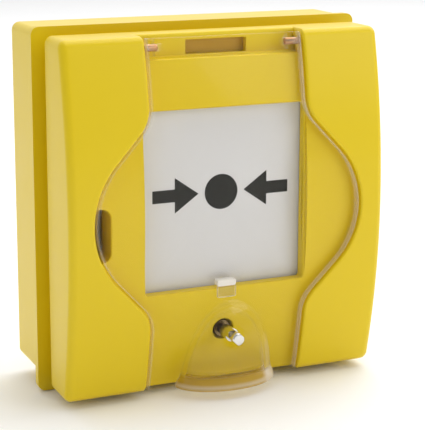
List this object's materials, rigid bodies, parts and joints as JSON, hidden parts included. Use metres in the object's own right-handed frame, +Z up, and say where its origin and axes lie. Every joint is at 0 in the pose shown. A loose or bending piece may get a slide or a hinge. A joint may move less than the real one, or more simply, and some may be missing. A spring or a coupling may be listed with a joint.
{
  "type": "manual call point",
  "caption": "Square wall-mounted manual call point: yellow housing, vase-shaped clear cover hinged at the top, white press element with arrows and a dot, sealing stud under a clear hood.",
  "frame": {"origin": "on the wall face of the back box, on the middle line, half way up the front shell", "axes": "+Y into the wall (the front looks along -Y), +Z up, +X to the right of a person facing it"},
  "size_m": [0.089, 0.0431, 0.093],
  "materials": {
    "yellow_plastic": "satin moulded ABS, signal yellow",
    "clear_plastic": "polished clear polycarbonate",
    "white_plastic": "satin white moulding",
    "dark_plastic": "black nylon",
    "grey_plastic": "grey moulding",
    "green_board": "glass-fibre laminate with green solder mask",
    "black_rubber": "soft rubber",
    "bright_steel": "bright zinc-plated steel",
    "brass": "drawn brass rod",
    "red_lens": "tinted clear epoxy",
    "resistor_body": "lacquered ceramic"
  },
  "bodies": {
    "base": {"back_box": "yellow_plastic", "box_gasket": "black_rubber", "cable_grommet": "black_rubber", "chassis": "yellow_plastic", "front_shell": "yellow_plastic", "chassis_screw_1": "bright_steel", "chassis_screw_2": "bright_steel", "chassis_screw_3": "bright_steel", "chassis_screw_4": "bright_steel", "shell_screw_left": "bright_steel", "shell_screw_right": "bright_steel", "board_screw_left": "bright_steel", "board_screw_right": "bright_steel", "circuit_board": "green_board", "status_led": "red_lens", "alarm_resistor": "resistor_body", "wiring_header": "white_plastic", "terminal_block": "dark_plastic", "terminal_screw_1": "bright_steel", "terminal_screw_2": "bright_steel", "terminal_screw_3": "bright_steel", "terminal_screw_4": "bright_steel", "microswitch_body": "dark_plastic", "lever_pin": "bright_steel", "element_guide": "grey_plastic", "hinge_pin_left": "brass", "hinge_pin_right": "brass", "sealing_stud": "bright_steel"},
    "cover": {"clear_cover": "clear_plastic", "cover_latch": "clear_plastic"},
    "element": {"operating_element": "white_plastic"},
    "switch_leaf": {"switch_lever": "bright_steel"},
    "plunger": {"switch_plunger": "white_plastic"},
    "key_cam": {"reset_cam": "dark_plastic"}
  },
  "joints": [
    {"name": "cover_hinge", "type": "hinge", "parent": "base", "child": "cover", "pos_m": [0, -0.0317, 0.0418], "axis": [-1, 0, 0], "range_deg": [0, 120]},
    {"name": "element_press", "type": "slide", "parent": "base", "child": "element", "axis": [0, 1, 0], "range_m": [0, 0.0025]},
    {"name": "switch_lever_turn", "type": "hinge", "parent": "base", "child": "switch_leaf", "pos_m": [-0.0079, -0.0257, 0.0049], "axis": [0, 0, 1], "range_deg": [0, 9.5]},
    {"name": "plunger_travel", "type": "slide", "parent": "base", "child": "plunger", "axis": [0, 1, 0], "range_m": [0, 0.0008]},
    {"name": "reset_key_turn", "type": "hinge", "parent": "base", "child": "key_cam", "pos_m": [0.013, -0.0263, -0.0445], "axis": [0, 0, 1], "range_deg": [0, 90]}
  ],
  "couplings": [
    {"joint": "switch_lever_turn", "follows": "element_press", "rad_per_m": 62.05},
    {"joint": "plunger_travel", "follows": "element_press", "ratio": 0.3}
  ]
}
